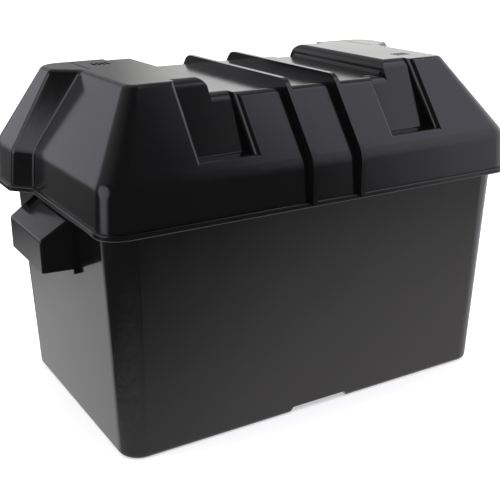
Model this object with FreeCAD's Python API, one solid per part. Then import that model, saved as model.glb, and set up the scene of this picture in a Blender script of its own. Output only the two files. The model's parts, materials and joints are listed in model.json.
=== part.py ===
import FreeCAD, Part
import math
import os

from FreeCAD import Vector

# A battery box for a caravan or boat: a tapered box with moulded end handles, a lift-off vented lid
# with a strap channel, and a 12 V flooded deep cycle battery of six cells standing inside.
# Millimetres. +X along the length, -Y to the front, +Z up, origin on the ground under the middle.

os.makedirs("parts", exist_ok=True)

# ---- driving dimensions: box ----
WALL = 3.0
FLOOR_T = 7.2                      # floor thickness, over the strap groove it is thinner
FLOOR_HALF = (161.5, 98.0)         # half length and half width at the ground
RIM_HALF = (167.0, 104.5)          # the same where the lid's edge comes down to
BOX_TOP = 188.0                    # top of the box rim, inside the lid
RIM_STEP = 0.8                     # how far the rim steps in where the lid covers it
BOX_R = (16.0, 19.0)               # vertical corner radius at the ground and at the rim
GROOVE_HALF = (27.0, 24.0)         # strap groove under the floor: half width at its mouth and roof
GROOVE_H = 5.0

# ---- driving dimensions: end handles ----
GRIP_HALF = (34.4, 37.6)           # half width along Y at the outer face and at the wall
GRIP_OUT = 190.5                   # outer face
GRIP_BOTTOM = 127.0
GRIP_SHOULDER = 150.5              # where the outer face turns into the slope
GRIP_SLOPE_END = (169.6, 164.2)    # x and z where the slope runs in under the lid
GRIP_WALL = 3.0

# ---- driving dimensions: lid ----
LID_Z = 167.0
SHOULDER_Z = 199.0
PLATEAU_Z = 255.4
CENTRE_Z = 245.2
# at each level: half length, half width, how far the rear corner blocks stand out and where their side
# begins and ends, then the front and rear corner radii
LID_LEVELS = [
    dict(z=LID_Z, a=174.0, b=108.9, out=12.8, y_in=29.0, y_out=43.0, r_front=17.0, r_rear=42.0),
    dict(z=SHOULDER_Z, a=171.8, b=106.7, out=12.6, y_in=26.0, y_out=39.0, r_front=16.0, r_rear=38.0),
    dict(z=PLATEAU_Z, a=135.2, b=64.0, out=19.0, y_in=16.0, y_out=31.0, r_front=8.0, r_rear=18.0),
]
SHOULDER_R = 14.0
TOP_R = 5.0
CENTRE_R = 9.0                     # long edges of the low middle
STEP_X = 76.0                      # where the low middle of the lid meets the end plateaus
STEP_R = (7.0, 3.0)                 # step's upper and lower edge
LID_SHIFT = 1.5                    # how far along X the lid sits within its play
POCKET_X = (59.5, 100.5)           # cable pockets in the long slopes, from and to
POCKET_FLOOR = 207.5
POCKET_BACK = (87.9, 0.585)        # y of the back wall at the floor, and how much it leans in per mm
POCKET_R = 11.0                    # top edge of the back wall
MOUTH_R = 4.5                      # the pocket's other three edges
RIB_X = (-19.5, 22.0)              # middle of each strap rib
RIB_W = 3.8
RIB_H = (6.2, 6.8)                 # height on the slopes and on the top
RIB_R = 13.0                       # bend from slope to top
RIB_FOOT = (4.4, 169.0)            # how far the foot stands out, and its height above the ground
BEAD_OUT = 1.9
BEAD_H = 4.2
SEAT_T = 2.8                       # ledge inside the lid that sits on the box rim
VENT_SLOT = (2.4, 11.0)
VENT_PITCH = 3.7
VENT_AT = (112.0, 39.0)
SEAM = (128.0, 57.8, 100.0, 19.0)  # corner x, y of the fine groove round each rear block, and its ends

# ---- driving dimensions: battery ----
BAT_HALF = (153.0, 85.5)
BAT_R = 5.0
CASE_H = 172.0
CASE_WALL = 3.0
PARTITION = 2.0
CELLS = 6
DECK_H = 17.0                      # cover's low deck above the case
RAISED_H = 9.0                     # vent block above the deck
RAISED_Y = (-22.0, 78.0)
COVER_WALL = 3.0
VENT_Y = 28.0
WELL_R = 9.6
PLUG_R = 9.0
TERMINAL_X = 122.0
TERMINAL_Y = -52.0
STUD_DX = 28.0                     # from the post in to the threaded stud
POST_R = {"negative": (8.95, 7.95), "positive": (9.75, 8.75)}   # foot and top of the tapered post
POST_H = 17.0
STUD_R = {"negative": 3.97, "positive": 4.76}
STUD_PITCH = {"negative": 1.41, "positive": 1.59}
RUN = 0.08                         # radial clearance of a nut on its stud
GAP = 0.3                          # gap between pieces of different bodies

# ---- driving dimensions: cell groups ----
PLATES_PER_CELL = 11
PLATE_PITCH = 4.2
PLATE_T = {"negative": 1.8, "positive": 2.2}
PLATE_HALF_Y = 76.0
PLATE_H = 125.0
SEPARATOR_T = 1.2
LUG_Y = 52.0
LUG_HALF = 6.0
STRAP_T = 8.0

# ---- derived ----
BAT_Z = FLOOR_T
CASE_TOP = BAT_Z + CASE_H
DECK_Z = CASE_TOP + DECK_H
RAISED_Z = DECK_Z + RAISED_H
CELL_PITCH = (2 * BAT_HALF[0] - 2 * CASE_WALL + PARTITION) / CELLS
CELL_X = [(i - (CELLS - 1) / 2) * CELL_PITCH for i in range(CELLS)]
PLATE_Z = BAT_Z + CASE_WALL + 6.0
LUG_TOP = PLATE_Z + PLATE_H + 11.0
PAD_TOP = DECK_Z + 4.5
SIDE = {"negative": -1, "positive": 1}


# ---- small helpers ----
def block(x0, x1, y0, y1, z0, z1):
    return Part.makeBox(x1 - x0, y1 - y0, z1 - z0, Vector(x0, y0, z0))


def rod(x, y, z0, z1, r, r_top=None):
    if r_top is None:
        return Part.makeCylinder(r, z1 - z0, Vector(x, y, z0))
    return Part.makeCone(r, r_top, z1 - z0, Vector(x, y, z0))


def join(shapes):
    return shapes[0].fuse(shapes[1:]).removeSplitter() if len(shapes) > 1 else shapes[0]


def outline(corners, z=0.0):
    """Closed wire in a level plane through (x, y, radius) corners."""
    count = len(corners)
    starts, ends, middles = [], [], []
    for i, (x, y, r) in enumerate(corners):
        p = Vector(x, y, z)
        before = (Vector(*corners[i - 1][:2], z) - p).normalize()
        after = (Vector(*corners[(i + 1) % count][:2], z) - p).normalize()
        half = before.getAngle(after) / 2
        back = r / math.tan(half)
        to_centre = (before + after).normalize()
        starts.append(p + before * back)
        ends.append(p + after * back)
        middles.append(p + to_centre * (r / math.sin(half) - r))
    edges = []
    for i in range(count):
        if corners[i][2] > 0:
            edges.append(Part.Arc(starts[i], middles[i], ends[i]).toShape())
        edges.append(Part.makeLine(ends[i], starts[(i + 1) % count]))
    return Part.Wire(edges)


def rectangle(half_x, half_y, r, z):
    return outline([(-half_x, -half_y, r), (half_x, -half_y, r), (half_x, half_y, r), (-half_x, half_y, r)], z)


def slab(wire, height):
    return Part.Face(wire).extrude(Vector(0, 0, height))


def side_prism(corners, x0, x1):
    """Prism along X of a (y, z, radius) outline."""
    cyclic = FreeCAD.Matrix(0, 0, 1, x0, 1, 0, 0, 0, 0, 1, 0, 0, 0, 0, 0, 1)
    return slab(outline(corners), x1 - x0).transformed(cyclic)


def end_prism(corners, y0, y1):
    """Prism along Y of an (x, z, radius) outline."""
    shape = slab(outline(corners), y1 - y0)
    shape.rotate(Vector(0, 0, 0), Vector(1, 0, 0), 90)
    shape.translate(Vector(0, y1, 0))
    return shape


def mirror_x(shape):
    return shape.mirror(Vector(0, 0, 0), Vector(1, 0, 0))


def mirror_y(shape):
    return shape.mirror(Vector(0, 0, 0), Vector(0, 1, 0))


def round_edges(shape, radius, wanted):
    """Fillet the edges whose two end points satisfy wanted(p, q)."""
    edges = [e for e in shape.Edges if len(e.Vertexes) == 2 and wanted(e.Vertexes[0].Point, e.Vertexes[1].Point)]
    return shape.makeFillet(radius, edges)


def level(z):
    return lambda p, q: abs(p.z - z) < 0.01 and abs(q.z - z) < 0.01


def save(name, shape):
    if not shape.isValid():
        raise ValueError(name + " is not a valid shape")
    shape.exportStep("parts/" + name + ".step")


# ---- box ----
def box_section(z, inset):
    rise = min(z, LID_Z) / LID_Z
    half_x = FLOOR_HALF[0] + (RIM_HALF[0] - FLOOR_HALF[0]) * rise - inset
    half_y = FLOOR_HALF[1] + (RIM_HALF[1] - FLOOR_HALF[1]) * rise - inset
    return rectangle(half_x, half_y, BOX_R[0] + (BOX_R[1] - BOX_R[0]) * rise - inset, z)


def box_form(z0, z1, inset, step=0.0):
    tapered = Part.makeLoft([box_section(z0, inset), box_section(LID_Z, inset)], True, True)
    return tapered.fuse(slab(box_section(LID_Z, inset + step), z1 - LID_Z))


def strap_groove():
    mouth, roof = GROOVE_HALF
    corners = [(-mouth - 1, -1, 0), (mouth + 1, -1, 0), (roof, GROOVE_H, 1.2), (-roof, GROOVE_H, 1.2)]
    return end_prism(corners, -120, 120)


def grip_outline(inset):
    out = GRIP_OUT - inset
    x_end, z_end = GRIP_SLOPE_END
    bottom = GRIP_BOTTOM - (1 if inset else 0)
    round_out = max(2.5 - inset, 0.6)
    return [(out, bottom, 0), (out, GRIP_SHOULDER - inset * 0.6, round_out), (x_end, z_end - inset * 1.2, 0),
            (x_end - 8, z_end - inset * 1.2, 0), (x_end - 8, bottom, 0)]


def grip_plan(inset):
    """Level outline that flares towards the wall."""
    outer, wall = GRIP_HALF[0] - inset, GRIP_HALF[1] - inset
    x_out, x_wall = GRIP_OUT - inset, RIM_HALF[0] - WALL - 1
    corners = [(x_out, -outer, 0), (x_out, outer, 0), (x_wall, wall, 0), (x_wall, -wall, 0)]
    return slab(outline(corners, GRIP_BOTTOM - 2), 60)


def grip_hood():
    hood = end_prism(grip_outline(0), -50, 50).common(grip_plan(0))
    return round_edges(hood, 2.0, lambda p, q: abs(p.y - q.y) < 0.01 and p.x + q.x > 2 * GRIP_SLOPE_END[0] + 0.1)


def grip_pocket():
    return end_prism(grip_outline(GRIP_WALL), -50, 50).common(grip_plan(GRIP_WALL)).cut(box_form(0, BOX_TOP, 0))


def grip_tabs():
    side = GRIP_HALF[1]
    tab = block(163, RIM_HALF[0] + 2.2, side - GRIP_WALL, side, GRIP_BOTTOM - 3.5, GRIP_BOTTOM)
    return tab.fuse(mirror_y(tab))


def battery_box():
    outer = round_edges(box_form(0, BOX_TOP, 0, RIM_STEP), 3.5, level(0))
    outer = outer.cut(strap_groove())
    hood = grip_hood().fuse(grip_tabs())
    outer = outer.fuse([hood, mirror_x(hood)])
    pocket = grip_pocket()
    hollow = round_edges(box_form(FLOOR_T, BOX_TOP, WALL), 3.0, level(FLOOR_T))
    return outer.cut([hollow, pocket, mirror_x(pocket)]).removeSplitter()


# ---- lid ----
def lid_level(z):
    """The lid's outline numbers at any height."""
    lower, upper = LID_LEVELS[:2] if z <= SHOULDER_Z else LID_LEVELS[1:]
    part = (z - lower["z"]) / (upper["z"] - lower["z"])
    return {key: lower[key] + (upper[key] - lower[key]) * part for key in lower}


def lid_ring(z, inset, top=0.0):
    g = lid_level(z)
    a, b, out = g["a"] - inset, g["b"] - inset, g["out"]
    begin, end = g["y_in"] + 0.4 * inset, g["y_out"] + 0.4 * inset
    right = [(a, begin, 4.0 + inset), (a + out, end, 4.0 - 0.8 * inset), (a + out, b, g["r_rear"] - inset)]
    left = [(-x, y, r) for x, y, r in reversed(right)]
    front = [(-a, -b, g["r_front"] - inset), (a, -b, g["r_front"] - inset)]
    return outline(front + right + left, z)


def centre_cut():
    """Everything above the low middle, its long edges and the foot of its steps rounded."""
    proud, foot = 0.08, SHOULDER_Z
    low, wide = slope_y(CENTRE_Z) + proud, slope_y(foot) + proud
    corners = [(-wide, foot, 0), (-low, CENTRE_Z, CENTRE_R), (low, CENTRE_Z, CENTRE_R), (wide, foot, 0)]
    tool = block(-STEP_X, STEP_X, -150, 150, foot + 1, 300).cut(side_prism(corners, -STEP_X - 1, STEP_X + 1))
    at_foot = lambda p, q: abs(abs(p.x) - STEP_X) < 0.01 and abs(p.x - q.x) < 0.01 and max(p.z, q.z) < CENTRE_Z + 0.1
    return round_edges(tool, STEP_R[1], lambda p, q: at_foot(p, q) and min(p.z, q.z) > foot + 1.1)


def step_flares():
    """What is cut away to round the upper edge of each step."""
    r, proud = STEP_R[0], 0.08
    x, z = STEP_X + r - proud, PLATEAU_Z - r + proud
    flare = block(STEP_X - 0.5, x, -150, 150, z, PLATEAU_Z + 3)
    flare = flare.cut(Part.makeCylinder(r, 302, Vector(x, -151, z), Vector(0, 1, 0)))
    return [flare, mirror_x(flare)]


def lid_outer_form():
    rings = [lid_ring(z, 0) for z in (LID_Z, SHOULDER_Z, PLATEAU_Z)]
    form = round_edges(Part.makeLoft(rings, True, True), SHOULDER_R, level(SHOULDER_Z))
    form = round_edges(form, TOP_R, level(PLATEAU_Z))
    return form.cut(centre_cut()).cut(step_flares())


def lid_hollow():
    top = PLATEAU_Z - WALL
    rings = [lid_ring(z, WALL) for z in (LID_Z, SHOULDER_Z, top)]
    hollow = round_edges(Part.makeLoft(rings, True, True), 4.0, level(SHOULDER_Z))
    wide = STEP_X + WALL
    hollow = hollow.cut(block(-wide, wide, -120, 120, CENTRE_Z - WALL, 270))
    return hollow.cut(pockets(WALL))


def slope_y(z):
    return lid_level(z)["b"]


def pocket_tool(x0, x1, top, grow):
    """Everything outside a leaning back wall and above a level floor, rounded over at the top edge."""
    start, lean = POCKET_BACK
    floor = POCKET_FLOOR - grow
    back = start - grow * math.hypot(1, lean)
    y_floor = -back - lean * grow
    y_top = -back + lean * (top - POCKET_FLOOR)
    if grow:
        y_high = -back + lean * (270 - POCKET_FLOOR)
        corners = [(-140, floor, 0), (y_floor, floor, 0), (y_high, 270, 0), (-140, 270, 0)]
    else:
        y_in = y_top + 0.6 * POCKET_R
        corners = [(-140, floor, 0), (y_floor, floor, 1.5), (y_top, top, POCKET_R), (y_in, top, 0),
                   (y_in, 280, 0), (-140, 280, 0)]
    return side_prism(corners, x0 - grow, x1 + grow)


def slope_frame():
    """Placement of the front slope: u along X, v up the slope, n outward, from the pocket's lower edge."""
    rise, run = PLATEAU_Z - SHOULDER_Z, slope_y(SHOULDER_Z) - slope_y(PLATEAU_Z)
    size = math.hypot(rise, run)
    up_y, up_z = run / size, rise / size
    return FreeCAD.Matrix(1, 0, 0, 0, 0, up_y, -up_z, -slope_y(POCKET_FLOOR), 0, up_z, up_y, POCKET_FLOOR, 0, 0, 0, 1)


def mouth_lip(x0, x1):
    """What is cut away to round the pocket's lower edge."""
    r, proud = MOUTH_R, 0.08
    turn = slope_frame()
    n_y, n_z = turn.A23, turn.A33
    edge_y, edge_z = turn.A24, turn.A34
    c_y = edge_y + (r - proud) * (1 - n_z) / -n_y
    c_z = edge_z - (r - proud)
    kite = [(c_y, edge_z + 0.5, 0), (c_y, c_z, 0), (c_y + (r + 0.5) * n_y, c_z + (r + 0.5) * n_z, 0),
            (edge_y - 2.5, edge_z + 0.9, 0)]
    rod_x = Part.makeCylinder(r, x1 - x0 + 2, Vector(x0 - 1, c_y, c_z), Vector(1, 0, 0))
    return side_prism(kite, x0, x1).cut(rod_x)


def mouth_side(x, way):
    """What is cut away to round one side edge of the pocket, way being +1 or -1 out of the pocket."""
    r, proud, length = MOUTH_R, 0.08, 75.0
    far = way * (r - proud)
    flare = block(min(-0.4 * way, far), max(-0.4 * way, far), -r, length, -r + proud, 3)
    flare = flare.cut(Part.makeCylinder(r, length + r + 2, Vector(far, -r - 1, -r + proud), Vector(0, 1, 0)))
    flare.translate(Vector(x, 0, 0))
    flare = flare.transformed(slope_frame())
    above = block(x - 2 * r, x + 2 * r, -140, 0, POCKET_FLOOR, 290).fuse(mouth_lip(x - 2 * r, x + 2 * r))
    return flare.common(above)


def pocket_mouth():
    x0, x1 = POCKET_X
    return [mouth_lip(x0, x1), mouth_side(x0, -1), mouth_side(x1, 1)]


def pockets(grow=0.0):
    low = pocket_tool(POCKET_X[0], STEP_X, CENTRE_Z, grow)
    high = pocket_tool(STEP_X, POCKET_X[1], PLATEAU_Z, grow)
    right = low.fuse([high] + ([] if grow else pocket_mouth()))
    pair = [right, mirror_x(right)]
    return pair + [mirror_y(p) for p in pair]


def rib_outline(side, top):
    """Half profile of a strap rib, mirrored: up the side, over the shoulder and slope, across the top."""
    low, knee, crest = (slope_y(LID_Z), LID_Z), (slope_y(SHOULDER_Z), SHOULDER_Z), (slope_y(PLATEAU_Z), PLATEAU_Z)
    tilt_1 = math.atan2(knee[1] - low[1], low[0] - knee[0])
    tilt_2 = math.atan2(crest[1] - knee[1], knee[0] - crest[0])
    n1 = (math.sin(tilt_1), math.cos(tilt_1))
    n2 = (math.sin(tilt_2), math.cos(tilt_2))
    c1 = n1[0] * knee[0] + n1[1] * knee[1] + side
    c2 = n2[0] * knee[0] + n2[1] * knee[1] + side
    det = n1[0] * n2[1] - n1[1] * n2[0]
    corner = ((c1 * n2[1] - c2 * n1[1]) / det, (n1[0] * c2 - n2[0] * c1) / det)
    z_top = CENTRE_Z + top
    y_top = (c2 - n2[1] * z_top) / n2[0]
    y_foot, z_foot = slope_y(RIB_FOOT[1]) + RIB_FOOT[0], RIB_FOOT[1]
    right = [(y_foot, z_foot, 0), (corner[0], corner[1], SHOULDER_R + side), (y_top, z_top, RIB_R)]
    return right + [(-y, z, r) for y, z, r in reversed(right)]


def strap_ribs():
    profile = rib_outline(*RIB_H)
    return [side_prism(profile, x - RIB_W / 2, x + RIB_W / 2) for x in RIB_X]


def bead():
    band = slab(lid_ring(LID_Z, -BEAD_OUT), BEAD_H)
    return round_edges(round_edges(band, 1.0, level(LID_Z)), 1.0, level(LID_Z + BEAD_H))


def vent_slots():
    slots = []
    for side in (-1, 1):
        for k in range(4):
            x = side * VENT_AT[0] + (k - 1.5) * VENT_PITCH
            y = -side * VENT_AT[1]
            w, h = VENT_SLOT
            slots.append(block(x - w / 2, x + w / 2, y - h / 2, y + h / 2, PLATEAU_Z - 6, PLATEAU_Z + 1))
    return slots


def seam_grooves():
    x, y, x_end, y_end = SEAM
    groove = block(x, x + 1.0, y_end, y + 1.0, PLATEAU_Z - 0.9, PLATEAU_Z + 1)
    groove = groove.fuse(block(x_end, x + 1.0, y, y + 1.0, PLATEAU_Z - 0.9, PLATEAU_Z + 1))
    return [groove, mirror_x(groove)]


def lid_seat():
    z = BOX_TOP + GAP
    ledge = slab(rectangle(170.2, 106.4, 17.0, z), SEAT_T)
    return ledge.cut(slab(rectangle(RIM_HALF[0] - WALL - 0.5, RIM_HALF[1] - WALL - 0.5, 15.0, z), SEAT_T))


def lid():
    shell = lid_outer_form().fuse([bead()] + strap_ribs())
    shell = shell.cut(pockets() + vent_slots() + seam_grooves())
    shell = shell.cut(lid_hollow()).fuse(lid_seat())
    shell.translate(Vector(LID_SHIFT, 0, 0))
    return shell


# ---- battery case and cover ----
def battery_case():
    case = slab(rectangle(BAT_HALF[0], BAT_HALF[1], BAT_R, BAT_Z), CASE_H)
    case = round_edges(case, 2.0, level(BAT_Z))
    half = (CELL_PITCH - PARTITION) / 2
    depth = BAT_HALF[1] - CASE_WALL
    cells = [block(x - half, x + half, -depth, depth, BAT_Z + CASE_WALL, CASE_TOP + 1) for x in CELL_X]
    holes = [connector_rod(i) for i in range(CELLS - 1)]
    rests = []
    for x in CELL_X:
        for dx in (-12, 12):
            rests.append(block(x + dx - 1.5, x + dx + 1.5, -depth, depth, BAT_Z + CASE_WALL, PLATE_Z))
    return case.cut(cells + holes).fuse(rests)


def battery_cover():
    deck = slab(rectangle(BAT_HALF[0], BAT_HALF[1], BAT_R, CASE_TOP), DECK_H)
    deck = round_edges(deck, 3.0, level(DECK_Z))
    y0, y1 = RAISED_Y
    middle, half_y = (y0 + y1) / 2, (y1 - y0) / 2
    raised = slab(rectangle(BAT_HALF[0] - 9, half_y, 6.0, DECK_Z - 1), RAISED_H + 1)
    raised.translate(Vector(0, middle, 0))
    raised = round_edges(raised, 2.5, level(RAISED_Z))
    shell = deck.fuse(raised)
    half = (CELL_PITCH - PARTITION) / 2
    depth = BAT_HALF[1] - CASE_WALL
    hollows = []
    for i, x in enumerate(CELL_X):
        left = x - half + (9 if i == 0 else 0)
        right = x + half - (9 if i == CELLS - 1 else 0)
        hollows.append(block(x - half, x + half, -depth, depth, CASE_TOP - 1, DECK_Z - COVER_WALL))
        hollows.append(block(left, right, y0 + COVER_WALL, y1 - COVER_WALL, CASE_TOP - 1, RAISED_Z - COVER_WALL))
    shell = shell.cut(hollows)
    tubes = [rod(x, VENT_Y, RAISED_Z - 20, RAISED_Z - 0.5, WELL_R + 2.4) for x in CELL_X]
    shell = shell.fuse(tubes)
    wells = [rod(x, VENT_Y, RAISED_Z - 21, RAISED_Z + 1, WELL_R) for x in CELL_X]
    sockets = [terminal_base(p, bare=True) for p in SIDE]
    return shell.cut(wells + sockets)


# ---- terminals ----
def terminal_base(polarity, bare=False):
    """Lead bushing cast through the cover, with a pad running in to the threaded stud."""
    side = SIDE[polarity]
    x, y = side * TERMINAL_X, TERMINAL_Y
    x_stud = side * (TERMINAL_X - STUD_DX)
    bush = join([rod(x, y, DECK_Z - COVER_WALL - 2, DECK_Z + 1, 13.0), rod(x, y, DECK_Z, PAD_TOP, 13.5)])
    pad = rod(x_stud, y, DECK_Z, PAD_TOP, 10.5)
    bar = block(min(x, x_stud), max(x, x_stud), y - 8, y + 8, DECK_Z, PAD_TOP)
    body = bush.fuse([pad, bar]).removeSplitter()
    if bare:
        return body
    return body.cut([terminal_post(polarity), terminal_stud(polarity)])


def terminal_post(polarity):
    side = SIDE[polarity]
    foot, top = POST_R[polarity]
    x, y = side * TERMINAL_X, TERMINAL_Y
    taper = rod(x, y, PAD_TOP, PAD_TOP + POST_H, foot, top)
    taper = taper.makeFillet(1.0, [e for e in taper.Edges if e.BoundBox.ZMin > PAD_TOP + POST_H - 0.1])
    shaft = rod(x, y, strap_top(), PAD_TOP, 6.0)
    return taper.fuse(shaft)


def strap_top():
    return LUG_TOP + STRAP_T


def terminal_stud(polarity):
    side = SIDE[polarity]
    r = STUD_R[polarity]
    x = side * (TERMINAL_X - STUD_DX)
    z_top = PAD_TOP + 22.0
    head = rod(x, TERMINAL_Y, DECK_Z + 0.6, DECK_Z + 2.6, r + 3)
    shank = rod(x, TERMINAL_Y, DECK_Z + 2.6, z_top, r)
    shank = shank.makeChamfer(0.7, [e for e in shank.Edges if e.BoundBox.ZMin > z_top - 0.01])
    pitch = STUD_PITCH[polarity]
    root = r - 0.3 * pitch
    z = PAD_TOP + 2.6
    grooves = []
    while z < z_top - 1.5:
        outer = rod(x, TERMINAL_Y, z, z + pitch / 2, r + 1)
        grooves.append(outer.cut(rod(x, TERMINAL_Y, z - 0.1, z + pitch, root)))
        z += pitch
    return head.fuse(shank).cut(grooves)


def washer(polarity):
    side = SIDE[polarity]
    x = side * (TERMINAL_X - STUD_DX)
    ring = rod(x, TERMINAL_Y, PAD_TOP, PAD_TOP + 1.6, 9.2)
    return ring.cut(rod(x, TERMINAL_Y, PAD_TOP - 1, PAD_TOP + 3, STUD_R[polarity] + 0.3))


def wing_nut(polarity):
    side = SIDE[polarity]
    x, y = side * (TERMINAL_X - STUD_DX), TERMINAL_Y
    z = PAD_TOP + 1.6 + GAP
    hub = rod(x, y, z, z + 9.0, 7.6, 6.4)
    profile = [(4.0, z + 1.0, 0), (8.4, z + 1.0, 1.5), (14.0, z + 9.5, 2.5), (13.2, z + 14.0, 2.2),
               (9.0, z + 13.6, 2.0), (5.4, z + 7.6, 2.0), (4.0, z + 7.4, 0)]
    wing = end_prism(profile, -1.5, 1.5)
    wings = [wing, mirror_x(wing)]
    for w in wings:
        w.rotate(Vector(0, 0, 0), Vector(0, 0, 1), 25 * side)
        w.translate(Vector(x, y, 0))
    nut = hub.fuse(wings)
    return nut.cut(rod(x, y, z - 1, z + 20, STUD_R[polarity] + RUN))


def terminal_cap(polarity):
    side = SIDE[polarity]
    x, y = side * TERMINAL_X, TERMINAL_Y
    z0, z1 = PAD_TOP + GAP, PAD_TOP + POST_H + 3.0
    r = POST_R[polarity][0] + 2.3
    cup = rod(x, y, z0, z1, r, r - 0.9)
    cup = cup.makeFillet(2.0, [e for e in cup.Edges if e.BoundBox.ZMin > z1 - 0.01])
    foot, top = POST_R[polarity]
    bore = rod(x, y, z0 - 1, PAD_TOP + POST_H + GAP, foot + GAP + 0.06, top + GAP)
    lip = rod(x, y, z0, z0 + 2.0, r + 1.6)
    tab = block(x - 4, x + 4, y - r - 7, y - r + 1, z0, z0 + 1.8)
    return cup.fuse([lip, tab]).cut(bore)


# ---- vent caps ----
def vent_cap(side):
    """One bar of three plugs; the plugs hang in the cover's wells."""
    xs = [x for x in CELL_X if x * side > 0]
    middle = sum(xs) / 3
    z = RAISED_Z + GAP
    bar = slab(rectangle(64.5, 19.0, 7.0, z), 9.5)
    bar.translate(Vector(middle, VENT_Y, 0))
    bar = round_edges(bar, 2.5, level(z + 9.5))
    plugs = [rod(x, VENT_Y, z - 12.5, z + 1, PLUG_R) for x in xs]
    domes = [rod(x, VENT_Y, z + 9.0, z + 11.0, 13.0, 12.0) for x in xs]
    grip = block(middle - 20, middle + 20, VENT_Y - 22.5, VENT_Y - 17, z + 1.5, z + 5.0)
    body = bar.fuse(plugs + domes + [grip])
    hollows = [rod(x, VENT_Y, z - 14, z - 2, PLUG_R - 2.2) for x in xs]
    bleeds = [rod(x, VENT_Y, z - 3, z + 12, 1.0) for x in xs]
    seats = [seal_ring(x) for x in xs]
    return body.cut(hollows + bleeds + seats)


def seal_ring(x):
    return Part.makeTorus(PLUG_R - 0.7, 1.1, Vector(x, VENT_Y, RAISED_Z - 5.0))


def vent_seals(side):
    return Part.makeCompound([seal_ring(x) for x in CELL_X if x * side > 0])


# ---- cell groups ----
def facing(i):
    """Where cell i has its negative lugs: -1 at the front, +1 at the back."""
    return -1 if i % 2 == 0 else 1


def plates(i, polarity):
    first = 0 if polarity == "negative" else 1
    y = LUG_Y * facing(i) * (1 if polarity == "negative" else -1)
    half = PLATE_T[polarity] / 2
    group = []
    for k in range(first, PLATES_PER_CELL, 2):
        x = CELL_X[i] + (k - (PLATES_PER_CELL - 1) / 2) * PLATE_PITCH
        plate = block(x - half, x + half, -PLATE_HALF_Y, PLATE_HALF_Y, PLATE_Z, PLATE_Z + PLATE_H)
        lug = block(x - half, x + half, y - LUG_HALF, y + LUG_HALF, PLATE_Z + PLATE_H, LUG_TOP)
        group.append(plate.fuse(lug).removeSplitter())
    return Part.makeCompound(group)


def separators(i):
    group = []
    for k in range(PLATES_PER_CELL - 1):
        x = CELL_X[i] + (k + 0.5 - (PLATES_PER_CELL - 1) / 2) * PLATE_PITCH
        x += 0.1 if k % 2 == 0 else -0.1
        half = SEPARATOR_T / 2
        group.append(block(x - half, x + half, -PLATE_HALF_Y - 4, PLATE_HALF_Y + 4, PLATE_Z, PLATE_Z + PLATE_H + 4))
    return Part.makeCompound(group)


def cast_strap(i, polarity):
    """Bar burned onto one polarity's lugs, with an upright flag where it meets the next cell."""
    y = LUG_Y * facing(i) * (1 if polarity == "negative" else -1)
    half = (PLATES_PER_CELL - 1) / 2 * PLATE_PITCH + 1.4
    x = CELL_X[i]
    bar = block(x - half, x + half, y - 9, y + 9, LUG_TOP, strap_top())
    bar = bar.makeFillet(1.5, [e for e in bar.Edges if abs(e.Vertexes[0].Z - e.Vertexes[1].Z) > 1])
    toward = -1 if polarity == "negative" else 1
    last = (i == 0 and polarity == "negative") or (i == CELLS - 1 and polarity == "positive")
    if last:
        return bar
    edge = x + toward * half
    flag = block(min(edge, edge - 3.5 * toward), max(edge, edge - 3.5 * toward), y - 7, y + 7, LUG_TOP + 1, CASE_TOP - 6)
    return bar.fuse(flag).removeSplitter()


def connector_rod(i):
    """Weld through the partition between cells i and i + 1."""
    half = (PLATES_PER_CELL - 1) / 2 * PLATE_PITCH + 1.4
    y = -LUG_Y * facing(i)
    x0, x1 = CELL_X[i] + half, CELL_X[i + 1] - half
    return Part.makeCylinder(5.0, x1 - x0, Vector(x0, y, CASE_TOP - 12.5), Vector(1, 0, 0))


def cell_connectors():
    return Part.makeCompound([connector_rod(i) for i in range(CELLS - 1)])


def main():
    save("battery_box", battery_box())
    save("lid", lid())
    save("battery_case", battery_case())
    save("battery_cover", battery_cover())
    for polarity in SIDE:
        save("terminal_base_" + polarity, terminal_base(polarity))
        save("terminal_post_" + polarity, terminal_post(polarity))
        save("terminal_stud_" + polarity, terminal_stud(polarity))
        save("washer_" + polarity, washer(polarity))
        save("wing_nut_" + polarity, wing_nut(polarity))
        save("terminal_cap_" + polarity, terminal_cap(polarity))
    for name, side in (("left", -1), ("right", 1)):
        save("vent_cap_" + name, vent_cap(side))
        save("vent_seals_" + name, vent_seals(side))
    for i in range(CELLS):
        for polarity in SIDE:
            save("plates_%s_%d" % (polarity, i + 1), plates(i, polarity))
            save("strap_%s_%d" % (polarity, i + 1), cast_strap(i, polarity))
        save("separators_%d" % (i + 1), separators(i))
    save("cell_connectors", cell_connectors())


main()
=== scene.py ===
import json
import math

import bpy
from mathutils import Matrix, Vector

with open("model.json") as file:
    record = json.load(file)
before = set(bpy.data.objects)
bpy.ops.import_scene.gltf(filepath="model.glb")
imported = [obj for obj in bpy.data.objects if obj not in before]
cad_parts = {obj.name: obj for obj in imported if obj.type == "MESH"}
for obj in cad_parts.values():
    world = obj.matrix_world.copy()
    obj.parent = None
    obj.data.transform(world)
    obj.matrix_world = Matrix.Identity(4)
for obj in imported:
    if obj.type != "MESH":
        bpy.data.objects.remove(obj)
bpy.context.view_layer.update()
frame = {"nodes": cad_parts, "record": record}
nodes = frame["nodes"]
RECORD = {m["slot"]: m for m in frame["record"]["materials"]}
NODE_SLOT = {s["node"]: s["material_slot"] for s in frame["record"]["subparts"]}

# ---- camera: metres in the box's own axes, turned from +Y towards +X, down, and about its line of sight ----
CAM_AT = Vector((-0.3644, -0.6047, 0.3521))
CAM_YAW, CAM_PITCH, CAM_ROLL = 30.82, 19.77, -0.22
FOCAL_PER_FRAME = 1.80276            # focal length over the frame's width
SENSOR = 36.0

# ---- finish of the box and lid ----
BOX_DARKEN = 0.25                    # against the record's colour, because the gloss adds to it
BOX_ROUGH = 0.15
PLASTIC_IOR = 1.5

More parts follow.
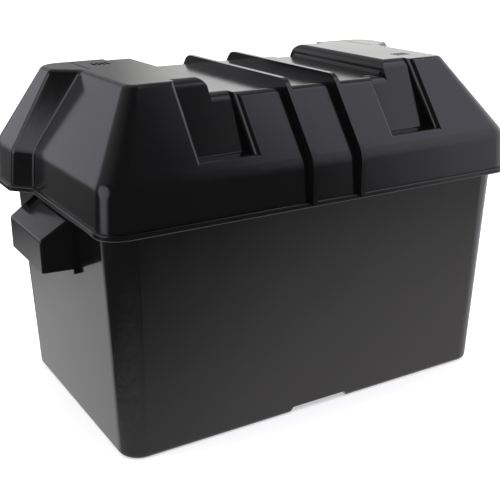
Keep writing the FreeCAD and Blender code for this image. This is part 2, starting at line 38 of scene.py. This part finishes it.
# ---- stage and overhead lamp, in metres and watts ----
FLOOR_HALF = 40.0
FLOOR_SHADES = ((0.90, 0.90, 0.90), (0.93, 0.93, 0.93))
FLOOR_GLOW = 0.5
OVERHEAD_AT = (0.0, 1.5, 3.5)
OVERHEAD_SIZE = 9.0
OVERHEAD_POWER = 300


def add_camera():
    yaw, pitch, roll = (math.radians(v) for v in (CAM_YAW, CAM_PITCH, CAM_ROLL))
    forward = Vector((math.sin(yaw) * math.cos(pitch), math.cos(yaw) * math.cos(pitch), -math.sin(pitch)))
    right = Vector((math.cos(yaw), -math.sin(yaw), 0.0))
    up = right.cross(forward)
    tilted_right = right * math.cos(roll) + up * math.sin(roll)
    tilted_up = up * math.cos(roll) - right * math.sin(roll)
    data = bpy.data.cameras.new("camera")
    data.sensor_width = SENSOR
    data.lens = FOCAL_PER_FRAME * SENSOR
    cam = bpy.data.objects.new("camera", data)
    turn = Matrix((tilted_right, tilted_up, -forward)).transposed().to_4x4()
    cam.matrix_world = Matrix.Translation(CAM_AT) @ turn
    bpy.context.collection.objects.link(cam)
    bpy.context.scene.camera = cam


# ---- node helpers ----
def set_range(node, low, high, out_low, out_high):
    limits = {"From Min": low, "From Max": high, "To Min": out_low, "To Max": out_high}
    for name, number in limits.items():
        node.inputs[name].default_value = number


class Nodes:
    """A material being wired up, with short calls for the nodes used here."""

    def __init__(self, name):
        self.material = bpy.data.materials.new(name)
        self.material.use_nodes = True
        self.tree = self.material.node_tree
        self.shader = self.tree.nodes["Principled BSDF"]
        coords = self.tree.nodes.new("ShaderNodeTexCoord")
        self.place = coords.outputs["Object"]

    def link(self, a, b):
        self.tree.links.new(a, b)

    def stretch(self, scale):
        node = self.tree.nodes.new("ShaderNodeMapping")
        node.inputs["Scale"].default_value = scale
        self.link(self.place, node.inputs["Vector"])
        return node.outputs["Vector"]

    def noise(self, scale, detail=3.0, rough=0.5, at=None):
        node = self.tree.nodes.new("ShaderNodeTexNoise")
        node.inputs["Scale"].default_value = scale
        node.inputs["Detail"].default_value = detail
        node.inputs["Roughness"].default_value = rough
        self.link(at or self.place, node.inputs["Vector"])
        return node.outputs["Fac"]

    def ramp(self, value, low, high, out_low, out_high):
        node = self.tree.nodes.new("ShaderNodeMapRange")
        set_range(node, low, high, out_low, out_high)
        self.link(value, node.inputs["Value"])
        return node.outputs["Result"]

    def colours(self, value, low, high):
        node = self.tree.nodes.new("ShaderNodeMix")
        node.data_type = "RGBA"
        node.inputs[6].default_value = (*low, 1)
        node.inputs[7].default_value = (*high, 1)
        self.link(value, node.inputs[0])
        return node.outputs[2]

    def bump(self, height, distance, strength=1.0, before=None):
        node = self.tree.nodes.new("ShaderNodeBump")
        node.inputs["Distance"].default_value = distance
        node.inputs["Strength"].default_value = strength
        self.link(height, node.inputs["Height"])
        if before:
            self.link(before, node.inputs["Normal"])
        return node.outputs["Normal"]

    def set(self, **sockets):
        names = {"color": "Base Color", "rough": "Roughness", "metal": "Metallic", "normal": "Normal",
                 "ior": "IOR"}
        for key, value in sockets.items():
            socket = self.shader.inputs[names[key]]
            if hasattr(value, "is_output"):
                self.link(value, socket)
            elif key == "color":
                socket.default_value = (*value, 1)
            else:
                socket.default_value = value
        return self.material


def moulded(name, base, rough, grain=0.0):
    """Injection moulded plastic: faint sink waves, hazy patches in the gloss and, if asked, a fine grain."""
    n = Nodes(name)
    haze = n.noise(scale=14.0, detail=4.0, rough=0.6)
    scuffs = n.noise(scale=160.0, detail=2.0, rough=0.6)
    patchy = n.ramp(haze, 0.35, 0.7, rough * 0.85, rough * 1.2)
    rub = n.ramp(scuffs, 0.62, 0.8, 0.0, rough * 0.35)
    total = n.tree.nodes.new("ShaderNodeMath")
    n.link(patchy, total.inputs[0])
    n.link(rub, total.inputs[1])
    lighter = tuple(min(1.0, c * 1.25 + 0.002) for c in base)
    colour = n.colours(haze, base, lighter)
    sink_waves = n.noise(scale=22.0, detail=1.0, rough=0.4)
    normal = n.bump(sink_waves, distance=0.00012)
    if grain:
        texture = n.noise(scale=2600.0, detail=2.0, rough=0.6)
        normal = n.bump(texture, distance=grain, strength=0.6, before=normal)
    return n.set(color=colour, rough=total.outputs[0], normal=normal, ior=PLASTIC_IOR)


def cast_lead(name, base):
    n = Nodes(name)
    cloud = n.noise(scale=60.0, detail=6.0, rough=0.65)
    dark = tuple(c * 0.72 for c in base)
    pits = n.noise(scale=900.0, detail=3.0, rough=0.6)
    pitted = n.bump(pits, distance=0.00005, strength=0.7)
    normal = n.bump(cloud, distance=0.0002, strength=0.8, before=pitted)
    return n.set(color=n.colours(cloud, dark, base), metal=0.85, rough=n.ramp(cloud, 0.3, 0.7, 0.42, 0.62),
                 normal=normal)


def turned_steel(name, base):
    n = Nodes(name)
    lines = n.noise(scale=40.0, detail=3.0, rough=0.6, at=n.stretch((1.0, 1.0, 60.0)))
    spots = n.noise(scale=320.0, detail=3.0, rough=0.6)
    normal = n.bump(lines, distance=0.00002, strength=0.5)
    return n.set(color=n.colours(spots, tuple(c * 0.9 for c in base), base), metal=1.0,
                 rough=n.ramp(lines, 0.3, 0.7, 0.22, 0.38), normal=normal)


def pasted(name, base, rough):
    """Active paste on a lead grid: granular, with the grid's bars just showing."""
    n = Nodes(name)
    grains = n.noise(scale=1500.0, detail=4.0, rough=0.7)
    clouds = n.noise(scale=45.0, detail=4.0, rough=0.6)
    wave = n.tree.nodes.new("ShaderNodeTexWave")
    wave.bands_direction = "Z"
    wave.inputs["Scale"].default_value = 42.0
    wave.inputs["Distortion"].default_value = 0.4
    n.link(n.place, wave.inputs["Vector"])
    grainy = n.bump(grains, distance=0.0001, strength=0.8)
    normal = n.bump(wave.outputs["Fac"], distance=0.00025, strength=0.5, before=grainy)
    dark = tuple(c * 0.75 for c in base)
    light = tuple(min(1, c * 1.2) for c in base)
    return n.set(color=n.colours(clouds, dark, light), rough=rough, normal=normal)


def porous_sheet(name, base):
    n = Nodes(name)
    fibres = n.noise(scale=700.0, detail=4.0, rough=0.7, at=n.stretch((1.0, 4.0, 0.3)))
    return n.set(color=n.colours(fibres, tuple(c * 0.88 for c in base), base), rough=0.75,
                 normal=n.bump(fibres, distance=0.00008, strength=0.6))


def build_materials():
    base = {slot: tuple(m["base_color"][:3]) for slot, m in RECORD.items()}
    return {
        "box_plastic": moulded("box_plastic", tuple(c * BOX_DARKEN for c in base["box_plastic"]), BOX_ROUGH),
        "case_plastic": moulded("case_plastic", base["case_plastic"], 0.38, grain=0.00004),
        "cover_plastic": moulded("cover_plastic", base["cover_plastic"], 0.32, grain=0.00003),
        "vent_plastic": moulded("vent_plastic", base["vent_plastic"], 0.28, grain=0.00002),
        "lead": cast_lead("lead", base["lead"]),
        "steel": turned_steel("steel", base["steel"]),
        "cap_red": moulded("cap_red", base["cap_red"], 0.35),
        "cap_black": moulded("cap_black", base["cap_black"], 0.35),
        "seal_rubber": moulded("seal_rubber", base["seal_rubber"], 0.6, grain=0.00003),
        "plate_grey": pasted("plate_grey", base["plate_grey"], 0.8),
        "plate_brown": pasted("plate_brown", base["plate_brown"], 0.85),
        "separator": porous_sheet("separator", base["separator"]),
    }


# small rounding of each node's hard edges: width in metres and steps
EDGE_ROUNDING = {
    "battery_box": (0.0007, 2), "lid": (0.0008, 2),
    "battery_case": (0.0006, 2), "battery_cover": (0.0006, 2),
}
SMALL_ROUNDING = (0.0003, 2)
SHARP_ANGLE = 28                     # degrees from which an edge counts as hard


def finish_node(name, obj, materials):
    obj.data.materials.clear()
    obj.data.materials.append(materials[NODE_SLOT[name]])
    width, steps = EDGE_ROUNDING.get(name, SMALL_ROUNDING)
    bevel = obj.modifiers.new("edge", "BEVEL")
    bevel.width = width
    bevel.segments = steps
    bevel.limit_method = "ANGLE"
    bevel.angle_limit = math.radians(SHARP_ANGLE)
    bevel.harden_normals = True


# ---- stage and lights ----
def add_floor():
    half = FLOOR_HALF
    corners = [(-half, -half, 0), (half, -half, 0), (half, half, 0), (-half, half, 0)]
    mesh = bpy.data.meshes.new("floor")
    mesh.from_pydata(corners, [], [(0, 1, 2, 3)])
    floor = bpy.data.objects.new("floor", mesh)
    bpy.context.collection.objects.link(floor)
    n = Nodes("floor")
    mottle = n.noise(scale=3.0)
    n.shader.inputs["Emission Color"].default_value = (1, 1, 1, 1)
    n.shader.inputs["Emission Strength"].default_value = FLOOR_GLOW
    mesh.materials.append(n.set(color=n.colours(mottle, *FLOOR_SHADES), rough=0.7))
    floor.visible_glossy = False


def compass(azimuth, elevation):
    """Direction with azimuth counted from +X towards +Y, both in degrees."""
    a, e = math.radians(azimuth), math.radians(elevation)
    return (math.cos(a) * math.cos(e), math.sin(a) * math.cos(e), math.sin(e))


# soft areas of the studio: azimuth, elevation, cosine where each starts and is full, brightness, tint
STUDIO = [
    (-10, 10, 0.620, 0.840, 1.20, (1.00, 0.97, 1.04)),    # screen at the right
    (-15, 45, 0.925, 0.975, 1.30, (0.98, 0.96, 1.12)),    # screen above it
    (-30, -45, 0.800, 0.930, 1.00, (1.04, 0.99, 1.00)),   # table in front
    (-90, -89, 0.440, 0.620, 0.80, (1.03, 0.99, 1.00)),   # table close by
    (110, -42, 0.890, 0.950, 0.90, (1.01, 0.99, 1.01)),   # table behind at the left
    (112, 12, 0.920, 0.990, 0.90, (0.98, 0.98, 1.06)),    # strip above it
    (50, 10, 0.935, 0.985, 1.25, (1.01, 1.00, 0.99)),     # lamp behind
    (90, 40, 0.300, 1.000, 0.45, (1.00, 1.00, 1.03)),     # back wall
    (174, 13, 0.820, 0.940, 1.60, (0.99, 0.98, 1.05)),    # lamp at the left
    (45, -32, 0.830, 0.960, 0.80, (1.00, 1.00, 1.02)),    # table behind at the right
]
STUDIO_DIM = (0.05, 0.05, 0.052)


def add_studio():
    world = bpy.data.worlds.new("studio")
    bpy.context.scene.world = world
    world.use_nodes = True
    tree = world.node_tree

    def vector_node(operation, first):
        node = tree.nodes.new("ShaderNodeVectorMath")
        node.operation = operation
        tree.links.new(first, node.inputs[0])
        return node

    place = tree.nodes.new("ShaderNodeTexCoord").outputs["Generated"]
    total = None
    for azimuth, elevation, start, full, power, tint in STUDIO:
        dot = vector_node("DOT_PRODUCT", place)
        dot.inputs[1].default_value = compass(azimuth, elevation)
        ramp = tree.nodes.new("ShaderNodeMapRange")
        ramp.interpolation_type = "SMOOTHSTEP"
        set_range(ramp, start, full, 0.0, power)
        tree.links.new(dot.outputs["Value"], ramp.inputs["Value"])
        glow = tree.nodes.new("ShaderNodeVectorMath")
        glow.operation = "SCALE"
        glow.inputs[0].default_value = tint
        tree.links.new(ramp.outputs["Result"], glow.inputs["Scale"])
        brighter = vector_node("MAXIMUM", glow.outputs["Vector"])
        brighter.inputs[1].default_value = STUDIO_DIM
        if total:
            tree.links.new(total, brighter.inputs[1])
        total = brighter.outputs["Vector"]
    tree.links.new(total, tree.nodes["Background"].inputs["Color"])


def add_overhead():
    """One large level lamp that lights the floor and isn't seen in gloss."""
    data = bpy.data.lights.new("overhead", "AREA")
    data.shape = "RECTANGLE"
    data.size = OVERHEAD_SIZE
    data.size_y = OVERHEAD_SIZE
    data.energy = OVERHEAD_POWER
    light = bpy.data.objects.new("overhead", data)
    light.location = OVERHEAD_AT
    light.visible_glossy = False
    bpy.context.collection.objects.link(light)


bpy.context.scene.view_settings.view_transform = "Standard"
add_camera()
materials = build_materials()
for node_name, node in nodes.items():
    finish_node(node_name, node, materials)
add_floor()
add_studio()
add_overhead()
